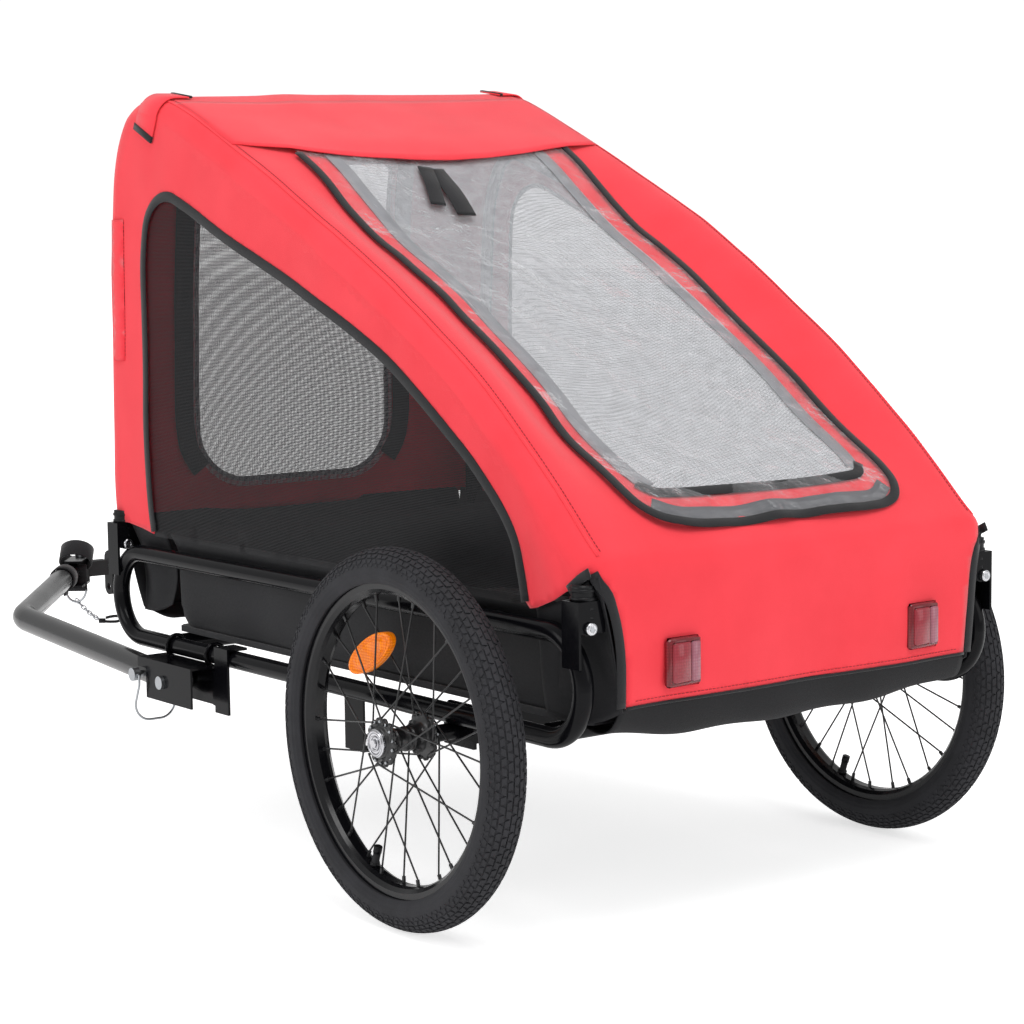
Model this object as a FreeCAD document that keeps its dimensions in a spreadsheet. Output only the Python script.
"""Bicycle trailer: two wheeled frame with a fabric cabin, side tow bar and axle hitch.

Modelling frame: millimetres, +X towards the tow bar, +Y left, +Z up, ground at Z = 0.
The sheet's shift_x moves every piece so that the whole object is centred over X = 0.
"""
import FreeCAD, Part
import math
import os
import Sketcher

V = FreeCAD.Vector
X_DIR, Y_DIR, Z_DIR = V(1, 0, 0), V(0, 1, 0), V(0, 0, 1)
SIDES = (("left", 1), ("right", -1))

doc = FreeCAD.newDocument("bicycle_trailer")
sheet = doc.addObject("Spreadsheet::Sheet", "Sheet")
NODES = []  # the pieces to export


class Quantity(float):
    """A float that carries the sheet expression it comes from."""

    def __new__(cls, value, expr):
        number = super().__new__(cls, value)
        number.expr = expr
        return number

    @staticmethod
    def of(value):
        if isinstance(value, Quantity):
            return value
        return Quantity(value, repr(round(float(value), 6)))

    def _combine(self, result, sign, other):
        return Quantity(result, "(%s %s %s)" % (self.expr, sign, other.expr))

    def __add__(self, other):
        other = Quantity.of(other)
        return self._combine(float(self) + float(other), "+", other)

    __radd__ = __add__

    def __sub__(self, other):
        other = Quantity.of(other)
        return self._combine(float(self) - float(other), "-", other)

    def __rsub__(self, other):
        return Quantity.of(other) - self

    def __mul__(self, other):
        other = Quantity.of(other)
        return self._combine(float(self) * float(other), "*", other)

    __rmul__ = __mul__

    def __truediv__(self, other):
        other = Quantity.of(other)
        return self._combine(float(self) / float(other), "/", other)

    def __neg__(self):
        return Quantity(-float(self), "(0 - %s)" % self.expr)


def make_cell():
    """A function that writes each driving dimension on the sheet's next row."""
    rows = []

    def cell(alias, value):
        rows.append(alias)
        row = len(rows)
        sheet.set("A%d" % row, alias)
        sheet.set("B%d" % row, str(value))
        sheet.setAlias("B%d" % row, alias)
        return Quantity(value, "Sheet." + alias)

    return cell


# ---- driving dimensions -------------------------------------------------
cell = make_cell()
shift_x = cell("shift_x", 485.25)
# wheels
wheel_radius = cell("wheel_radius", 197.0)
half_track = cell("half_track", 341.0)
rim_edge = cell("rim_edge", 162.5)
tyre_half = cell("tyre_half", 22.4)
hub_flange = cell("hub_flange", 25.5)
axle_rad = cell("axle_rad", 6.0)
run_gap = cell("run_gap", 0.05)
spoke_rad = cell("spoke_rad", 1.0)
spoke_count = cell("spoke_count", 28)
# lower frame and hinges
rail_rad = cell("rail_rad", 10.5)
tube_wall = cell("tube_wall", 1.5)
rail_y = cell("rail_y", 277.0)
rail_low = cell("rail_low", 216.5)
rail_top = cell("rail_top", 322.0)
rail_rear = cell("rail_rear", -218.5)
rail_front = cell("rail_front", 701.5)
hinge_z = cell("hinge_z", 331.0)
bolt_rad = cell("bolt_rad", 4.0)
# upper hoops: drop below the roof line, and the extra drop of the right one
hoop_rad = cell("hoop_rad", 8.0)
hoop_y = cell("hoop_y", 268.0)
hoop_drop = cell("hoop_drop", 27.0)
hoop_nest = cell("hoop_nest", 32.0)
# cover
cloth = cell("cloth", 1.5)
cover_half = cell("cover_half", 278.0)
roof_half = cell("roof_half", 256.0)
roof_fall = cell("roof_fall", 24.0)
# axle beam and its sockets
beam_size = cell("beam_size", 28.0)
beam_wall = cell("beam_wall", 2.0)
socket_rad = cell("socket_rad", 8.9)
# tub and floor
tub_rear = cell("tub_rear", -204.0)
tub_front = cell("tub_front", 606.0)
tub_half = cell("tub_half", 261.0)
tub_low = cell("tub_low", 227.2)
tub_high = cell("tub_high", 305.0)
floor_thick = cell("floor_thick", 7.0)
# tow bar and hitch
arm_rad = cell("arm_rad", 15.9)
arm_y = cell("arm_y", 300.0)
pivot_x = cell("pivot_x", 528.0)
pivot_z = cell("pivot_z", 181.0)
arm_bend_x = cell("arm_bend_x", 938.0)
arm_bend_z = cell("arm_bend_z", 210.7)
arm_end_x = cell("arm_end_x", 1190.0)
arm_end_y = cell("arm_end_y", 100.0)
arm_end_z = cell("arm_end_z", 228.0)
bend_rad = cell("bend_rad", 60.0)
channel_half = cell("channel_half", 20.0)
channel_wall = cell("channel_wall", 2.5)
pin_rad = cell("pin_rad", 4.0)
axle_hole = cell("axle_hole", 5.1)
# roof window and rear reflectors
window_half = cell("window_half", 176.0)
window_rear = cell("window_rear", -168.0)
window_front = cell("window_front", 404.0)
lens_wide = cell("lens_wide", 40.0)
lens_tall = cell("lens_tall", 45.0)
doc.recompute()


# ---- document objects bound to the sheet --------------------------------
def bind(obj, path, value):
    """Tie a property to the sheet if its value comes from there."""
    if "Sheet." in value.expr:
        obj.setExpression(path, value.expr)


def drive(obj, prop, value):
    value = Quantity.of(value)
    setattr(obj, prop, float(value))
    bind(obj, prop, value)


def put(obj, x=0.0, y=0.0, z=0.0):
    """Place an object in the modelling frame, bound to the sheet."""
    base = Quantity.of(x) - shift_x, Quantity.of(y), Quantity.of(z)
    obj.Placement = FreeCAD.Placement(V(*base), obj.Placement.Rotation)
    for axis, value in zip("xyz", base):
        obj.setExpression("Placement.Base." + axis, value.expr)


def keep(obj):
    NODES.append(obj)


def constrain(sk, value, kind, *target):
    value = Quantity.of(value)
    index = sk.addConstraint(Sketcher.Constraint(kind, *target, float(value)))
    bind(sk, "Constraints[%d]" % index, value)


def sketch(body, role, loops, circles=()):
    """Closed polygons whose corners are dimensioned from the origin, plus circles."""
    sk = body.newObject("Sketcher::SketchObject", "Sketch")
    support = next(f for f in body.Origin.OriginFeatures if f.Role == role)
    sk.AttachmentSupport = (support, [""])
    sk.MapMode = "FlatFace"
    for points in loops:
        count = len(points)
        first = sk.GeometryCount
        for a, b in zip(points, points[1:] + points[:1]):
            sk.addGeometry(Part.LineSegment(V(a[0], a[1], 0), V(b[0], b[1], 0)), False)
        for i in range(count):
            sk.addConstraint(
                Sketcher.Constraint("Coincident", first + i, 2, first + (i + 1) % count, 1))
        for i, (x, y) in enumerate(points):
            constrain(sk, x, "DistanceX", -1, 1, first + i, 1)
            constrain(sk, y, "DistanceY", -1, 1, first + i, 1)
    for x, y, radius in circles:
        index = sk.addGeometry(Part.Circle(V(x, y, 0), Z_DIR, float(radius)), False)
        constrain(sk, x, "DistanceX", -1, 1, index, 3)
        constrain(sk, y, "DistanceY", -1, 1, index, 3)
        constrain(sk, radius, "Radius", index)
    return sk


def turned(label, loops, at):
    """A body of revolution about Y; corners are (radius, place along the axis)."""
    body = doc.addObject("PartDesign::Body", label)
    sk = sketch(body, "XY_Plane", loops)
    turn = body.newObject("PartDesign::Revolution", "Turn")
    turn.Profile = sk
    turn.ReferenceAxis = (sk, ["V_Axis"])
    turn.Angle = 360
    put(body, *at)
    return body


def padded(label, role, loops, length, at, circles=(), mid=False):
    """A body padded from one sketch on an origin plane."""
    body = doc.addObject("PartDesign::Body", label)
    sk = sketch(body, role, loops, circles)
    pad = body.newObject("PartDesign::Pad", "Pad")
    pad.Profile = sk
    drive(pad, "Length", length)
    if mid:
        pad.Midplane = True
    put(body, *at)
    return body


def rod(label, radius, length, at, direction=Y_DIR):
    """A round bar from its start point along a direction."""
    bar = doc.addObject("Part::Cylinder", label)
    drive(bar, "Radius", radius)
    drive(bar, "Height", length)
    bar.Placement = FreeCAD.Placement(V(0, 0, 0), FreeCAD.Rotation(Z_DIR, direction))
    put(bar, *at)
    return bar


def block(label, size, at):
    box = doc.addObject("Part::Box", label)
    for prop, value in zip(("Length", "Width", "Height"), size):
        drive(box, prop, value)
    put(box, *at)
    return box


def joined(label, objs):
    fusion = doc.addObject("Part::MultiFuse", label)
    fusion.Shapes = objs
    keep(fusion)


def less(label, base, tool):
    cut = doc.addObject("Part::Cut", label)
    cut.Base = base
    cut.Tool = tool
    return cut


def solid(label, shape):
    """A piece whose form comes from Part's own functions, placed after its shape."""
    feature = doc.addObject("Part::Feature", label)
    feature.Shape = shape
    put(feature)
    keep(feature)


# ---- plain shapes -------------------------------------------------------
def polygon_face(points):
    return Part.Face(Part.makePolygon(points + points[:1]))


def prism(points, y0, y1):
    """An (x, z) outline extruded from y0 to y1."""
    return polygon_face([V(x, y0, z) for x, z in points]).extrude(V(0, y1 - y0, 0))


def bore(radius, length, start, direction):
    """The cutter of a running fit hole."""
    return Part.makeCylinder(radius + run_gap, length, start, direction)


def hex_nut(centre, radius, across, thickness):
    """A nut in the plane of 'across' and Z, extruded by the vector 'thickness'."""
    corners = []
    for i in range(7):
        angle = i * math.pi / 3
        corners.append(centre + across * (radius * math.cos(angle))
                       + Z_DIR * (radius * math.sin(angle)))
    return Part.Face(Part.makePolygon(corners)).extrude(thickness)


def on_side(shape, sign):
    """The left hand shape, mirrored if it belongs on the right."""
    return shape if sign > 0 else shape.mirror(V(0, 0, 0), Y_DIR)


# ---- tubes: straight runs and circular bends ----------------------------
def spine(points, radii, closed):
    """A wire through the points, with each inner corner rounded to its radius."""
    points = [V(*p) for p in points]
    count = len(points)
    edges, first, last = [], None, None
    for i, corner in enumerate(points):
        arc = None
        if not closed and i in (0, count - 1):
            start = end = corner
        else:
            back = (points[i - 1] - corner).normalize()
            ahead = (points[(i + 1) % count] - corner).normalize()
            if (back + ahead).Length < 1e-3:  # a straight joint needs no bend
                continue
            half = math.acos(max(-1.0, min(1.0, back.dot(ahead)))) / 2
            reach = radii[i] / math.tan(half)
            start, end = corner + back * reach, corner + ahead * reach
            inward = (back + ahead).normalize()
            centre = corner + inward * (radii[i] / math.sin(half))
            arc = Part.Arc(start, centre - inward * radii[i], end).toShape()
        if last is not None and (start - last).Length > 1e-6:
            edges.append(Part.LineSegment(last, start).toShape())
        if first is None:
            first = start
        if arc is not None:
            edges.append(arc)
        last = end
    if closed and (first - last).Length > 1e-6:
        edges.append(Part.LineSegment(last, first).toShape())
    return Part.Wire(edges)


def sweep(points, radii, radius, closed=False):
    wire = spine(points, radii, closed)
    edge = wire.Edges[0]
    start = edge.valueAt(edge.FirstParameter)
    tangent = edge.tangentAt(edge.FirstParameter)
    profile = Part.Wire([Part.Circle(start, tangent, float(radius)).toShape()])
    shape = wire.makePipeShell([profile], True, True)
    # the pipe may come back as a shell
    return shape if shape.ShapeType == "Solid" else Part.Solid(shape)


def tube(points, radii, radius, closed=False):
    outer = sweep(points, radii, radius, closed)
    inner = sweep(points, radii, radius - tube_wall, closed)
    return outer.cut(inner)


# ---- wheels -------------------------------------------------------------
# Places along the axle are measured from the wheel's middle plane, outward positive.
# Half of the tyre's section from tread to bead and back up the inside:
# (depth below the tread, share of the tyre's half width)
TYRE_SECTION = [
    (1.3, 0.33), (5.2, 0.65), (12, 0.88), (21, 1.0), (28.6, 0.925), (31.5, 0.78),
    (33.7, 0.555), (35.4, 0.535), (40, 0.515),
    (40, 0.33), (36, 0.4), (32, 0.58), (27, 0.74), (21, 0.815), (13, 0.71), (7.5, 0.51),
    (5, 0.27)]
TREAD_THICK = 4.2
TUBE_DEPTH = 21  # centre of the tyre's cavity below the tread
TUBE_OUTER, TUBE_INNER = 15.2, 14.2
# Rim section: (depth inside the rim's edge, place along the axle)
RIM_SECTION = [
    (0, 14.2), (0, 12.6), (5.9, 12.2), (6.1, 7.0), (8.3, 4.5), (8.3, -4.5), (6.1, -7.0),
    (5.9, -12.2), (0, -12.6), (0, -14.2), (7.5, -13.4), (11.5, -9.5), (13.5, -5.0),
    (13.5, 5.0), (11.5, 9.5), (7.5, 13.4)]
RIM_DEPTH = 13.5
VALVE_ANGLE = math.radians(289.3)
VALVE_DIR = V(math.cos(VALVE_ANGLE), 0, math.sin(VALVE_ANGLE))
BEARING_RAD = axle_rad + 6.0
BEARING_SPANS = ((-34, -26), (18, 26))
FLANGE_MIDS = (21.0, -29.0)  # outer and inner flange


def tyre(side, at):
    half = [(wheel_radius - depth, tyre_half * share) for depth, share in TYRE_SECTION]
    mirrored = [(radius, -y) for radius, y in half[::-1]]
    section = [(wheel_radius, 0.0)] + half + [(wheel_radius - TREAD_THICK, 0.0)] + mirrored
    keep(turned(side + "_tyre", [section], at))


def circle_points(centre, radius):
    """Twenty corners of a round section: (distance from the axle, place along it)."""
    angles = [2 * math.pi * i / 20 for i in range(20)]
    return [(centre + radius * math.cos(a), radius * math.sin(a)) for a in angles]


def valve_rod(label, radius, length, start, cy):
    """A bar in the valve's direction, starting at a distance from the axle."""
    at = (start * VALVE_DIR.x, cy, wheel_radius + start * VALVE_DIR.z)
    return rod(label, radius, length, at, VALVE_DIR)


def inner_tube(side, at):
    centre = wheel_radius - TUBE_DEPTH
    loops = [circle_points(centre, radius) for radius in (TUBE_OUTER, TUBE_INNER)]
    air_tube = turned(side + "_air_tube", loops, at)
    stem = valve_rod(side + "_valve", 4.0, 28.4, 133.0, at[1])
    joined(side + "_inner_tube", [air_tube, stem])


def rim(side, at):
    """Rim with a well and two edges, drilled for the valve."""
    section = [(rim_edge - depth, y) for depth, y in RIM_SECTION]
    ring = turned(side + "_rim_ring", [section], at)
    drill = valve_rod(side + "_valve_drill", 4.3, 40, 140, at[1])
    keep(less(side + "_rim", ring, drill))


def hub(side, sign, at):
    """Hub shell with two flanges, and a bearing ring in each end."""
    seat, lip, neck, bore_rad = BEARING_RAD, BEARING_RAD + 3, 10, 7.0
    end = BEARING_RAD + 4.5
    section = [
        (bore_rad, -26), (seat, -26), (seat, -34), (lip, -34), (lip, -30.5),
        (hub_flange, -30.5), (hub_flange, -27.5), (lip, -27.5), (lip, -24), (neck, -21),
        (neck, 13), (lip, 16), (lip, 19.5), (hub_flange, 19.5), (hub_flange, 22.5),
        (end, 22.5), (end, 26), (seat, 26), (seat, 18), (bore_rad, 18)]
    keep(turned(side + "_hub_shell", [[(radius, y * sign) for radius, y in section]], at))
    bearing_bore = axle_rad + run_gap
    rings = []
    for low, high in BEARING_SPANS:
        section = [(bearing_bore, low * sign), (BEARING_RAD, low * sign),
                   (BEARING_RAD, high * sign), (bearing_bore, high * sign)]
        rings.append(turned(side + "_bearing_ring", [section], at))
    joined(side + "_hub_bearings", rings)


def spokes(side, sign, cy):
    """Straight spokes from alternate faces of each flange, each with its nipple."""
    count = int(spoke_count)
    hub_reach, rim_reach, nipple_start = 21.8, 141.5, 142.4
    nipple_len = rim_edge - RIM_DEPTH - nipple_start - 0.03

    def wheel_point(radius, angle, y):
        return V(radius * math.cos(angle), y, wheel_radius + radius * math.sin(angle))

    shapes = []
    for k in range(count):
        outer = k % 2 == 0
        face = 1 if k // 2 % 2 == 0 else -1
        away = face == (1 if outer else -1)  # on the flange face away from the rim
        stand_off = 1.5 + (3.8 if away else 1.3)
        y_hub = cy + (FLANGE_MIDS[0 if outer else 1] + face * stand_off) * sign
        y_rim = cy + (2.6 if outer else -2.6) * sign
        rim_angle = 2 * math.pi * k / count
        hub_angle = rim_angle + face * math.radians(66.0)
        start = wheel_point(hub_reach, hub_angle, y_hub)
        pull = wheel_point(rim_reach, rim_angle, y_rim) - start
        length = pull.Length + 2.0
        spoke = Part.makeCylinder(spoke_rad, length, start, pull.normalize())
        radial = V(math.cos(rim_angle), 0, math.sin(rim_angle))
        nipple = Part.makeCylinder(2.0, nipple_len,
                                   wheel_point(nipple_start, rim_angle, y_rim), radial)
        shapes.append(spoke.fuse(nipple))
    solid(side + "_spokes", Part.makeCompound(shapes))


def spoke_reflector(side, cy):
    """Oval plate between the spokes, its long way across the wheel's radius."""
    angle, reach = math.radians(60.7), 95.4
    cos, sin = math.cos(angle), math.sin(angle)
    oval = []
    for i in range(24):
        along = 42.0 * math.cos(i * math.pi / 12)
        across = 19.5 * math.sin(i * math.pi / 12)
        oval.append((-along * sin + across * cos, along * cos + across * sin))
    at = (reach * cos, cy, wheel_radius + reach * sin)
    keep(padded(side + "_spoke_reflector", "XZ_Plane", [oval], 7.0, at, mid=True))


def quick_axle(side, sign, at):
    """Axle with a stop collar and a round cap; a push button sits in its blind bore."""
    button_rad, collar_rad, cap_rad = 4.5, 9.0, 14.5
    button_bore = button_rad + run_gap
    axle = [
        (0, -96.0), (axle_rad, -96.0), (axle_rad, -40.7), (collar_rad, -40.7),
        (collar_rad, -35.0), (axle_rad, -35.0), (axle_rad, 26.8), (cap_rad, 26.8),
        (cap_rad, 29.2), (13.3, 30.2), (button_bore, 30.2), (button_bore, 14.0), (0, 14.0)]
    button = [(0, 20.0), (button_rad, 20.0), (button_rad, 32.2), (3.7, 33.0), (0, 33.0)]
    axle, button = [[(radius, y * sign) for radius, y in pts] for pts in (axle, button)]
    body = turned(side + "_quick_axle", [axle], at)
    keep(turned(side + "_release_button", [button], at))
    return body


axles = []
for side, sign in SIDES:
    wheel_y = half_track * sign
    wheel_at = (0, wheel_y, wheel_radius)
    tyre(side, wheel_at)
    inner_tube(side, wheel_at)
    rim(side, wheel_at)
    hub(side, sign, wheel_at)
    spokes(side, sign, wheel_y)
    spoke_reflector(side, wheel_y)
    axles.append(quick_axle(side, sign, wheel_at))
joined("quick_release_axles", axles)

# ---- lower frame --------------------------------------------------------
rail_inside = rail_y - rail_rad


def side_rail(side, sign):
    """Closed tube loop with nearly half round ends; 0.01 leaves a short straight."""
    y = rail_y * sign
    corners = [(rail_rear, y, rail_low), (rail_front, y, rail_low),
               (rail_front, y, rail_top), (rail_rear, y, rail_top)]
    end_rad = (rail_top - rail_low) / 2 - 0.01
    solid(side + "_side_rail", tube(corners, [end_rad] * 4, rail_rad, closed=True))


for side, sign in SIDES:
    side_rail(side, sign)

crosses = []
for name, x in (("front_cross", 585.0), ("rear_cross", -150.0)):
    cross_at = (x, -rail_inside, rail_low)
    outer = rod(name + "_outer", rail_rad, rail_inside * 2, cross_at)
    inner = rod(name + "_inner", rail_rad - tube_wall, rail_inside * 2, cross_at)
    crosses.append(less(name, outer, inner))
joined("floor_cross_tubes", crosses)


# Square axle beam between two end plates, with a socket for each quick release axle
def square(half):
    return [(-half, -half), (half, -half), (half, half), (-half, half)]


PLATE_THICK = 4.0
PLATE_OUTLINE = [(-26, -17), (26, -17), (26, 20), (18, 29), (-18, 29), (-26, 20)]
beam_half = beam_size / 2
keep(padded("axle_beam", "XZ_Plane", [square(beam_half), square(beam_half - beam_wall)],
            (rail_inside - PLATE_THICK) * 2, (0, 0, wheel_radius), mid=True))
joined("axle_brackets", [
    padded("axle_plate_blank", "XZ_Plane", [PLATE_OUTLINE], PLATE_THICK,
           (0, (rail_inside - PLATE_THICK / 2) * sign, wheel_radius),
           circles=[(0, 0, socket_rad + 0.1)], mid=True)
    for sign in (1, -1)])

SOCKET_INNER_Y, SOCKET_OUTER_Y = 240.0, 300.0
sockets = []
for sign in (1, -1):
    low, high = SOCKET_INNER_Y * sign, SOCKET_OUTER_Y * sign
    socket_bore = axle_rad + run_gap
    section = [(socket_bore, low), (socket_rad, low), (socket_rad, high), (socket_bore, high)]
    sockets.append(turned("socket_blank", [section], (0, 0, wheel_radius)))
joined("axle_sockets", sockets)

# ---- corner hinges ------------------------------------------------------
HINGE_SPANS = ((-229.0, -203.0), (683.0, 709.0))  # rear and front, in X
CHEEK_THICK, CHEEK_WIDE = 3.0, 29.5


def corner_bracket(x0, x1, sign):
    """Outboard plate on the rail's bend, and two cheeks for the hinge bolt."""
    outside = rail_y + rail_rad
    plate = prism([(x0, 292), (x1, 292), (x1, 357), (x0, 357)], outside, outside + 3.0)
    cheeks = [Part.makeBox(CHEEK_THICK, CHEEK_WIDE, 31.0, V(x, outside - CHEEK_WIDE, 326.0))
              for x in (x0, x1 - CHEEK_THICK)]
    bracket = plate.fuse(cheeks).removeSplitter()
    bracket = bracket.cut(bore(bolt_rad, 60, V(x0 - 15, rail_y, hinge_z), X_DIR))
    return on_side(bracket, sign)


def hinge_bolt(x0, x1, sign):
    y = rail_y * sign
    shank = Part.makeCylinder(bolt_rad, x1 - x0 + 1.0, V(x0 - 0.5, y, hinge_z), X_DIR)
    head = Part.makeCylinder(5.6, 4.5, V(x0 - 4.6, y, hinge_z), X_DIR)
    nut = hex_nut(V(x1 + 0.1, y, hinge_z), 6.5, Y_DIR, V(5.0, 0, 0))
    return shank.fuse([head, nut]).removeSplitter()


for label, maker in (("corner_hinge_brackets", corner_bracket), ("hinge_bolts", hinge_bolt)):
    solid(label, Part.makeCompound(
        [maker(x0, x1, sign) for x0, x1 in HINGE_SPANS for sign in (1, -1)]))

# ---- folding side frames ------------------------------------------------
# Outer lines of the cover seen from the side: (x, z)
ROOF = [  # from the rear edge forward to the ridge
    (-231, 395), (-213, 412), (-160, 463), (-106, 509), (-30, 570), (54, 625), (140, 677),
    (227, 724), (340, 781), (450, 832), (540, 871), (575, 882), (605, 887), (632, 884)]
FRONT = [  # from the ridge down
    (632, 884), (660, 872), (682, 845), (697, 808), (708, 757), (719, 634), (724, 509),
    (722, 382), (720, 345)]
REAR = [(-234, 250), (-236, 300), (-235, 350), (-232.6, 386.5)]  # upward


def offset_line(points, distance):
    """Polyline moved sideways, to the right of its direction."""
    normals = []
    for (xa, za), (xb, zb) in zip(points, points[1:]):
        length = math.hypot(xb - xa, zb - za)
        normals.append(((zb - za) / length, (xa - xb) / length))
    out = []
    for i, (x, z) in enumerate(points):
        near = normals[max(i - 1, 0):i + 1]
        nx = sum(n[0] for n in near) / len(near)
        nz = sum(n[1] for n in near) / len(near)
        square_length = nx * nx + nz * nz
        out.append((x + distance * nx / square_length, z + distance * nz / square_length))
    return out


def hoop(sign, drop):
    """Bar under the cover's edge: rear leg, slope, ridge, front leg."""
    rear_x, front_x, foot_z = -216.0, 696.0, 352.0
    slope = offset_line([ROOF[1], ROOF[5], ROOF[9], ROOF[12]], drop)[:3]
    (xa, za), (xb, zb) = slope[:2]
    rear_leg_top = za + (rear_x - xa) * (zb - za) / (xb - xa)
    # (x, z, bend radius)
    stations = [
        (rear_x, foot_z, 0),
        (rear_x, max(rear_leg_top, 372.0), 16),
        (*slope[1], 260),
        (*slope[2], 260),
        (640.0 - drop * 0.55, 884.0 - drop, 42),
        (706.0 - drop, 757.0, 160),
        (723.0 - drop, 520.0, 200),
        (front_x, 400.0, 60),
        (front_x, foot_z, 0)]
    points = [(x, hoop_y * sign, z) for x, z, _ in stations]
    return tube(points, [bend for _, _, bend in stations], hoop_rad)


def hinge_ear(x0, x1, sign):
    """Block under the hoop's foot that narrows to an eye on the hinge bolt."""
    x, wide = x0 + 3.5, x1 - x0 - 7.0
    body = Part.makeBox(wide, 24.5, 21.0, V(x, 260.0, hinge_z))
    eye = Part.makeCylinder(7.5, wide, V(x, rail_y, hinge_z), X_DIR)
    trim = Part.makeBox(wide + 2, 9.5, 14.0, V(x - 1, 259.9, hinge_z - 0.1))
    ear = body.cut(trim).fuse(eye).removeSplitter()
    ear = ear.cut(bore(bolt_rad, 60, V(x - 15, rail_y, hinge_z), X_DIR))
    return on_side(ear, sign)


for (side, sign), drop in zip(SIDES, (hoop_drop, hoop_drop + hoop_nest)):
    ears = [hinge_ear(x0, x1, sign) for x0, x1 in HINGE_SPANS]
    solid(side + "_upper_hoop", Part.makeCompound([hoop(sign, drop)] + ears))

keep(rod("top_cross_bar", hoop_rad, roof_half * 2 - 16, (604.0, -(roof_half - 8), 877.0)))

# ---- tub and floor ------------------------------------------------------
tub_len = tub_front - tub_rear
tub_tall = tub_high - tub_low
tub_inner_half = tub_half - cloth
outer = block("tub_outer", (tub_len, tub_half * 2, tub_tall), (tub_rear, -tub_half, tub_low))
inner = block("tub_inner", (tub_len - 2 * cloth, tub_inner_half * 2, tub_tall),
              (tub_rear + cloth, -tub_inner_half, tub_low + cloth))
keep(less("lower_tub", outer, inner))

# floor panel with cut corners, 6 inside the tub's outline
EDGE, CORNER = 6, 14
floor_outline = [
    (tub_rear + EDGE, -(tub_half - CORNER)), (tub_rear + CORNER, -(tub_half - EDGE)),
    (tub_front - CORNER, -(tub_half - EDGE)), (tub_front - EDGE, -(tub_half - CORNER)),
    (tub_front - EDGE, tub_half - CORNER), (tub_front - CORNER, tub_half - EDGE),
    (tub_rear + CORNER, tub_half - EDGE), (tub_rear + EDGE, tub_half - CORNER)]
keep(padded("floor_panel", "XY_Plane", [floor_outline], floor_thick,
            (0, 0, tub_low + cloth + 0.2)))


# ---- cover --------------------------------------------------------------
def line_face(line, thick, y):
    """The area between a side profile and its inward offset, at one y."""
    outline = line + offset_line(line, thick)[::-1]
    return polygon_face([V(x, y, z) for x, z in outline])


def ribbon(line, thick, half):
    """A thin sheet that follows a side profile, from -half to half in Y."""
    return line_face(line, thick, -half).extrude(V(0, 2 * half, 0))


def shoulder(sign):
    """Sloping strip outside the roof sheet."""
    reach = V(0, (cover_half - roof_half) * sign, -roof_fall)
    return line_face(ROOF, cloth, roof_half * sign).extrude(reach)


roof_sheet = ribbon(ROOF, cloth, roof_half)
roof_sheet = roof_sheet.fuse([shoulder(1), shoulder(-1)]).removeSplitter()
roof_window = Part.makeBox(window_front - window_rear, 2 * window_half, 900,
                           V(window_rear, -window_half, 300))
solid("cover_roof", roof_sheet.cut(roof_window))

FRONT_WINDOW_HALF, FRONT_WINDOW_LOW, FRONT_WINDOW_HIGH = 150.0, 404.0, 800.0
FRONT_WINDOW_CORNER = 68.0


def front_window():
    """Cutter of the front window, rounded at its lower corners."""
    half, low = FRONT_WINDOW_HALF, FRONT_WINDOW_LOW
    box = Part.makeBox(200, 2 * half, FRONT_WINDOW_HIGH - low, V(600, -half, low))
    corners = [e for e in box.Edges
               if abs(e.CenterOfMass.z - low) < 1e-6
               and abs(abs(e.CenterOfMass.y) - half) < 1e-6]
    return box.makeFillet(FRONT_WINDOW_CORNER, corners)


front_cutter = front_window()
front_sheet = ribbon(FRONT, cloth, cover_half - cloth - 0.1)
# the top of the wall is cut away clear of the roof
front_sheet = front_sheet.cut(Part.makeBox(40, 600, 30, V(610, -300, 871)))
solid("cover_front_wall", front_sheet.cut(front_cutter))
front_mesh = ribbon(offset_line(FRONT, 0.3), 0.9, FRONT_WINDOW_HALF)
solid("front_window_mesh", front_mesh.common(front_cutter))
solid("cover_rear_panel", ribbon(REAR, cloth, 264.0))

# Side wall and its window: (x, z); the wall's top edge runs below the roof line
side_top = [(x, z - roof_fall - 5.2) for x, z in ROOF[1:-1]]
SIDE_WALL = [
    (-190, 360.5), (-190, 345), (650, 345), (650, 360.5), (719, 360.5), (720.2, 382),
    (722, 509), (716.5, 634), (705.5, 757), (694.5, 807), (679.5, 838), (655, 850),
    *side_top[::-1], (-225, 369), (-226, 360.5)]
SIDE_WINDOW = [
    (612, 352), (617, 380), (621, 560), (617, 700), (606, 742), (582, 762), (552, 767),
    (520, 757), (420, 715), (270, 656), (119, 587), (30, 533), (-55, 471), (-119, 401),
    (-131, 372), (-128, 352)]
for side, sign in SIDES:
    wall = prism(SIDE_WALL, (cover_half - cloth) * sign, cover_half * sign)
    cutter = prism(SIDE_WINDOW, (cover_half - 20) * sign, (cover_half + 20) * sign)
    solid("cover_%s_wall" % side, wall.cut(cutter))
    solid("%s_window_mesh" % side,
          prism(SIDE_WINDOW, (cover_half - cloth + 0.3) * sign, (cover_half - 0.3) * sign))

# insect screen just under the roof's window
SCREEN_REAR = -140
screen_line = offset_line([p for p in ROOF if -180 < p[0] < 410], 4.5)
screen = ribbon(screen_line, 0.9, window_half - 2.0)
solid("roof_window_screen", screen.common(
    Part.makeBox(window_front - 4 - SCREEN_REAR, 400, 900, V(SCREEN_REAR, -200, 300))))


def roof_point(x):
    """The point of the roof line at x."""
    for (xa, za), (xb, zb) in zip(ROOF, ROOF[1:]):
        if xa <= x <= xb:
            return x, za + (zb - za) * (x - xa) / (xb - xa)


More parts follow.
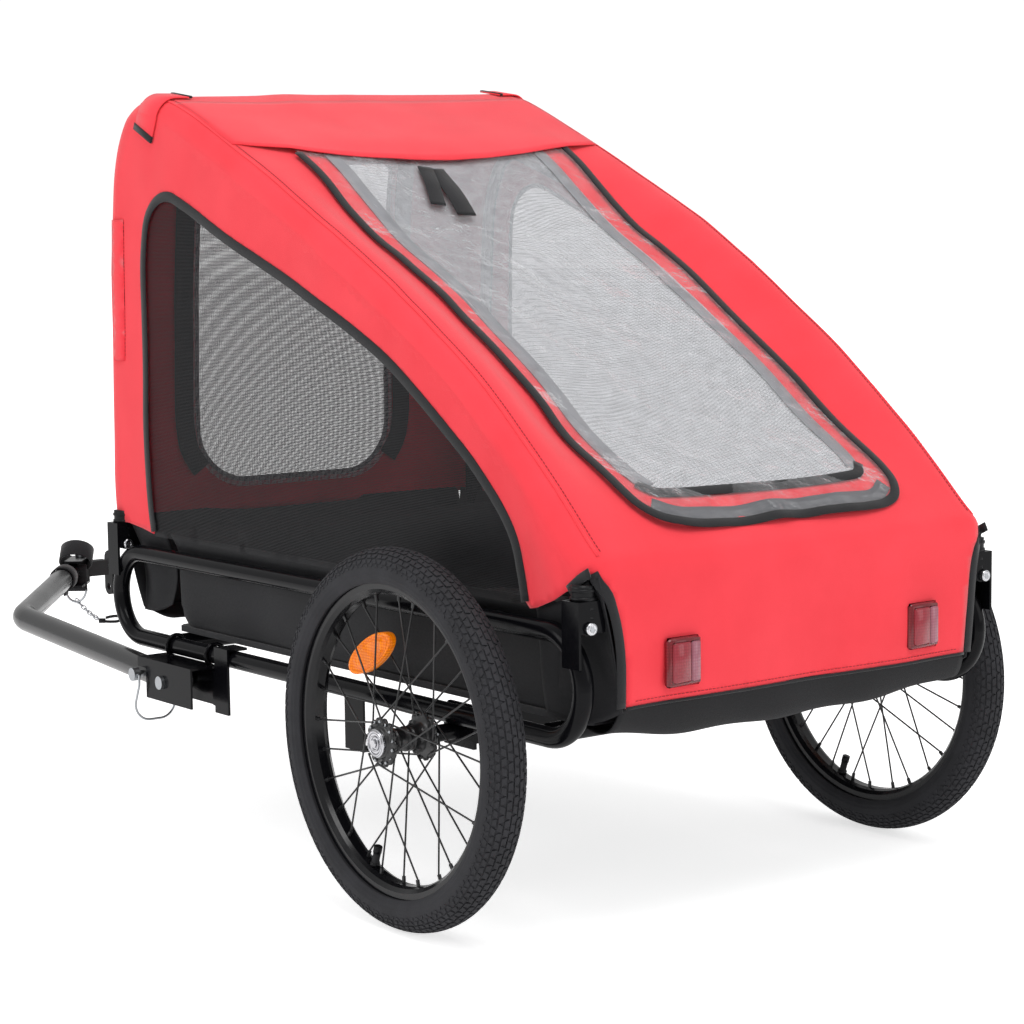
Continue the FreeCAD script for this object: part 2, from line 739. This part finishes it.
# clear flap above the roof's window, and the strap on it
flap_line = [roof_point(-206.0)] + [p for p in ROOF if -200 < p[0] < 404] + [roof_point(404.0)]
solid("clear_window_flap", ribbon(offset_line(flap_line, -4.2), 1.2, window_half + 8))
strap_line = offset_line([p for p in flap_line if 200 < p[0] < 400], -5.6)
STRAP_LOW_Y, STRAP_HIGH_Y = 72.0, 97.0
solid("flap_tie_strap", line_face(strap_line, 1.2, STRAP_LOW_Y).extrude(
    V(0, STRAP_HIGH_Y - STRAP_LOW_Y, 0)))

# ---- trim ---------------------------------------------------------------
REFLECTOR_Y, REFLECTOR_Z, REFLECTOR_EDGE = 169.0, 289, 1.5
lens_half, lens_low = lens_wide / 2, REFLECTOR_Z - lens_tall / 2
lenses, backs = [], []
for sign in (1, -1):
    y = REFLECTOR_Y * sign
    low, high = y - lens_half, y + lens_half
    backs.append(block(
        "reflector_back", (2.0, lens_wide + 2 * REFLECTOR_EDGE, lens_tall + 2 * REFLECTOR_EDGE),
        (-238.6, low - REFLECTOR_EDGE, lens_low - REFLECTOR_EDGE)))
    outline = [(-238.7, low), (-238.7, high), (-248.5, high - 2), (-248.5, low + 2)]
    lenses.append(padded("reflector_lens", "XY_Plane", [outline], lens_tall, (0, 0, lens_low)))
joined("rear_reflectors", lenses)
joined("rear_reflector_backs", backs)

keep(padded("flag_sleeve", "XZ_Plane", [[(672, 560), (700, 560), (692, 742), (664, 742)]],
            1.4, (0, cover_half + 1.5, 0)))
joined("corner_straps", [
    block("corner_strap_blank", (30.0, 1.4, 34.0), (612.0, float(y), 816.0))
    for y in (cover_half + 0.2, -(cover_half + 1.6))])

# ---- tow bar ------------------------------------------------------------
PIVOT_BOLT_RAD = 5.0
arm_slope = (arm_bend_z - pivot_z) / (arm_bend_x - pivot_x)
arm_side = arm_y - 40  # the bores across the bar start here
pivot_bore = bore(PIVOT_BOLT_RAD, 80, V(pivot_x, arm_side, pivot_z), Y_DIR)

# open channel over the bar's rear end
CHANNEL_REAR, CHANNEL_FRONT = 459.0, 586.0
CHEEK_OUTLINE = [  # (x, z)
    (CHANNEL_REAR, 158), (566, 158), (566, 194), (CHANNEL_FRONT, 194), (CHANNEL_FRONT, 205),
    (CHANNEL_REAR, 205)]
channel = Part.makeBox(CHANNEL_FRONT - CHANNEL_REAR, 2 * channel_half, channel_wall,
                       V(CHANNEL_REAR, arm_y - channel_half, 203.4))
channel = channel.fuse(
    [prism(CHEEK_OUTLINE, y, y + channel_wall)
     for y in (arm_y + channel_half - channel_wall, arm_y - channel_half)]).removeSplitter()
solid("drawbar_bracket", channel.cut(pivot_bore))

# side clamp on the lower rail, and two U bolts over the rail
CLAMP_X = 424
clamp_y = rail_y + rail_rad
clamp = Part.makeBox(30, 3.0, 78.0, V(CLAMP_X, clamp_y, 152))
saddle = Part.makeBox(30, 27.0, 3.0, V(CLAMP_X, clamp_y - 24.5, rail_low + rail_rad))
link = Part.makeBox(34.5, 3.0, 40.0, V(CLAMP_X, clamp_y, 160))
clamp = clamp.fuse([saddle, link]).removeSplitter()
u_bolts = []
for x in (474.0, 566.0):
    ring = Part.makeTorus(rail_rad + 2.6, 2.4, V(x, rail_y, rail_low), X_DIR)
    u_bolts.append(ring.common(Part.makeBox(20, 60, 40, V(x - 10, rail_y - 30, 206.2))))
solid("drawbar_rail_clamps", Part.makeCompound([clamp] + u_bolts))

shank = Part.makeCylinder(PIVOT_BOLT_RAD, 2 * channel_half + 2,
                          V(pivot_x, arm_y - channel_half - 1, pivot_z), Y_DIR)
head = Part.makeCylinder(8.0, 4.5, V(pivot_x, arm_y + channel_half + 0.1, pivot_z), Y_DIR)
nut = hex_nut(V(pivot_x, arm_y - channel_half - 0.1, pivot_z), 8, X_DIR, V(0, -6.0, 0))
solid("drawbar_pivot_bolt", shank.fuse([head, nut]).removeSplitter())

# the bar runs forward from behind its pivot, then bends inward to the hitch
ARM_TAIL = 14.5
pin_x = 582.0
pin_z = pivot_z + (pin_x - pivot_x) * arm_slope
arm_points = [(pivot_x - ARM_TAIL, arm_y, pivot_z - ARM_TAIL * arm_slope),
              (arm_bend_x, arm_y, arm_bend_z), (arm_end_x, arm_end_y, arm_end_z)]
arm_bends = [0, bend_rad, 0]
arm = tube(arm_points, arm_bends, arm_rad)
arm = arm.cut(pivot_bore)
arm = arm.cut(bore(pin_rad, 80, V(pin_x, arm_side, pin_z), Y_DIR))
solid("drawbar_tube", arm)

# lock pin across the bar; its head is bored for the bail
BAIL_Y, BAIL_AXLE_RAD, BAIL_HALF = 326.5, 1.5, 10.5
pin = Part.makeCylinder(pin_rad, 54.0, V(pin_x, 272.0, pin_z), Y_DIR)
pin = pin.fuse(Part.makeCylinder(8.0, 9.0, V(pin_x, 322.0, pin_z), Y_DIR)).removeSplitter()
solid("lock_pin", pin.cut(bore(BAIL_AXLE_RAD, 40, V(pin_x - 20, BAIL_Y, pin_z), X_DIR)))

# wire bail: hangs from the pin's head in an open loop and closes on the pin's tip
# (x, y, drop below the pin, bend radius)
BAIL = [
    (pin_x - BAIL_HALF, BAIL_Y, 0, 0), (pin_x - BAIL_HALF, BAIL_Y, 12.0, 8),
    (pin_x, BAIL_Y, 36.0, 8), (pin_x, BAIL_Y, 58.0, 20), (pin_x, 272.5, 58.0, 20),
    (pin_x, 272.5, 36.0, 8), (pin_x, 268.8, 6.0, 4), (pin_x, 268.8, -3.0, 0)]
bail = sweep([(x, y, pin_z - drop) for x, y, drop, _ in BAIL], [b[3] for b in BAIL], 1.4)
bail_axle = Part.makeCylinder(BAIL_AXLE_RAD, 2 * BAIL_HALF,
                              V(pin_x - BAIL_HALF, BAIL_Y, pin_z), X_DIR)
solid("lock_bail", bail.fuse(bail_axle).removeSplitter())

# ---- hitch --------------------------------------------------------------
arm_end = V(arm_end_x, arm_end_y, arm_end_z)
arm_dir = (arm_end - V(arm_bend_x, arm_y, arm_bend_z)).normalize()
heading = V(arm_dir.x, arm_dir.y, 0).normalize()  # level direction of the bar's end
heading_angle = math.degrees(math.atan2(arm_dir.y, arm_dir.x))
HITCH_X, HITCH_Y, HITCH_Z = 1206.0, 74.0, 228.5
YAW_PIN_RAD, PITCH_PIN_RAD = 5.0, 4.0
yaw_bore = bore(YAW_PIN_RAD, 80, V(HITCH_X, HITCH_Y, 190), Z_DIR)


def yaw_cylinder(radius, length, z):
    return Part.makeCylinder(radius, length, V(HITCH_X, HITCH_Y, z), Z_DIR)


def fork_plate(z):
    """Ear plate that reaches back from the yaw pin to the bar's end."""
    reach = 60
    plate = Part.makeBox(reach, 26, 3.0, V(0, -13, 0))
    plate = plate.fuse(Part.makeCylinder(13, 3.0, V(reach, 0, 0)))
    plate.rotate(V(0, 0, 0), Z_DIR, heading_angle)
    plate.translate(V(HITCH_X, HITCH_Y, z) - heading * reach)
    return plate


# the plates above and below the bar are cut to clear it
fork = [fork_plate(z) for z in (244.8, 209.2)]
arm_solid = sweep(arm_points, arm_bends, arm_rad + 0.02)
fork = Part.makeCompound([plate.cut(arm_solid).removeSplitter() for plate in fork])
solid("hitch_fork_plates", Part.makeCompound([part.cut(yaw_bore) for part in fork.Solids]))

yaw_pin = yaw_cylinder(YAW_PIN_RAD, 46.0, 205.5).fuse(
    [yaw_cylinder(8.0, 4.0, 248.0), yaw_cylinder(7.5, 3.5, 205.4)])
solid("hitch_yaw_pin", yaw_pin.removeSplitter())

elastomer = yaw_cylinder(12.5, 31.6, 212.8)
elastomer = elastomer.fuse(
    Part.makeBox(20, 32.0, 22.0, V(HITCH_X - 10, HITCH_Y - 40, 217.5))).removeSplitter()
solid("hitch_elastomer", elastomer.cut(yaw_bore))

pitch_pin = Part.makeCylinder(PITCH_PIN_RAD, 12.0, V(HITCH_X, HITCH_Y - 52.0, HITCH_Z), Y_DIR)
pitch_pin = pitch_pin.fuse(
    [Part.makeCylinder(7.0, 2.5, V(HITCH_X, HITCH_Y - 54.0, HITCH_Z), Y_DIR)])
solid("hitch_pitch_pin", pitch_pin.removeSplitter())

# upright plate with round ends: pitch pin above, bicycle axle below
PLATE_HALF, HITCH_PLATE_THICK = 12.0, 5.0
plate_y = HITCH_Y - 50.0
plate_top, axle_z = HITCH_Z + 12, HITCH_Z - 30
west, east = HITCH_X - PLATE_HALF, HITCH_X + PLATE_HALF
plate = prism([(west, plate_top), (west, axle_z), (east, axle_z), (east, plate_top)],
              plate_y, plate_y + HITCH_PLATE_THICK)
plate = plate.fuse(
    [Part.makeCylinder(PLATE_HALF, HITCH_PLATE_THICK, V(HITCH_X, plate_y, z), Y_DIR)
     for z in (axle_z, plate_top)]).removeSplitter()
plate = plate.cut(bore(PITCH_PIN_RAD, 60, V(HITCH_X, plate_y - 20, HITCH_Z), Y_DIR))
plate = plate.cut(Part.makeCylinder(axle_hole, 60, V(HITCH_X, plate_y - 20, axle_z), Y_DIR))
solid("axle_hitch_plate", plate)

# safety strap round the bar, with a tail that hangs below it
strap_start = arm_end - arm_dir * 60.0
strap = Part.makeCylinder(arm_rad + 1.9, 24.0, strap_start, arm_dir).cut(
    Part.makeCylinder(arm_rad + 0.3, 60.0, strap_start - arm_dir * 10, arm_dir))
tail = Part.makeBox(24.0, 2.4, 26.0, V(0, -1.2, 0))
tail.rotate(V(0, 0, 0), Z_DIR, heading_angle)
tail.translate(strap_start - V(0, 0, arm_rad + 26.5))
strap = strap.fuse(tail).removeSplitter()
solid("safety_strap", strap)

# ring at the strap's tail, chain of alternating links and an open hook
LINK_COUNT, LINK_PITCH = 5, 7.05
across = Z_DIR.cross(heading)
ring_at = strap_start + arm_dir * 12 - V(0, 0, arm_rad + 26.0 + 9.0)
ring = Part.makeTorus(8.0, 1.3, ring_at, across * -1).cut(strap)
chain_top = ring_at - V(0, 0, 8.0 + 2.35)
links = [Part.makeTorus(4.6, 0.95, chain_top - V(0, 0, i * LINK_PITCH),
                        heading if i % 2 == 0 else across)
         for i in range(LINK_COUNT)]
x, y = chain_top.x, chain_top.y
hook_z = chain_top.z - (LINK_COUNT - 1) * LINK_PITCH - 7.7
hook = sweep([(x, y, hook_z + 2.0), (x, y, hook_z - 26.0), (x - 12, y, hook_z - 26.0),
              (x - 12, y, hook_z - 4.0)], [0, 5, 5, 0], 1.8)
solid("safety_chain", Part.makeCompound([ring] + links + [hook]))

# storage clip that hangs from the left rail and catches the folded tow bar
clip = prism([(160, 152), (196, 152), (196, 205.9), (160, 205.9)], rail_y - 2.0, rail_y + 1.0)
foot = Part.makeBox(36.0, 16.0, 3.0, V(160, rail_y - 15.0, 149.0))
solid("bar_storage_clip", clip.fuse(foot).removeSplitter())

# ---- checks and files ---------------------------------------------------
doc.recompute()
bad = []
for obj in doc.Objects:
    if "Invalid" in obj.State or "Error" in obj.State:
        bad.append("%s: %s" % (obj.Label, obj.State))
for obj in NODES:
    shape = obj.Shape
    if shape.isNull() or not shape.isValid() or not shape.Solids or shape.Volume <= 0:
        bad.append("%s: null=%s valid=%s solids=%d"
                   % (obj.Label, shape.isNull(), shape.isValid(), len(shape.Solids)))
if bad:
    raise RuntimeError("; ".join(bad))
os.makedirs("parts", exist_ok=True)
for obj in NODES:
    obj.Shape.exportStep("parts/%s.step" % obj.Label)
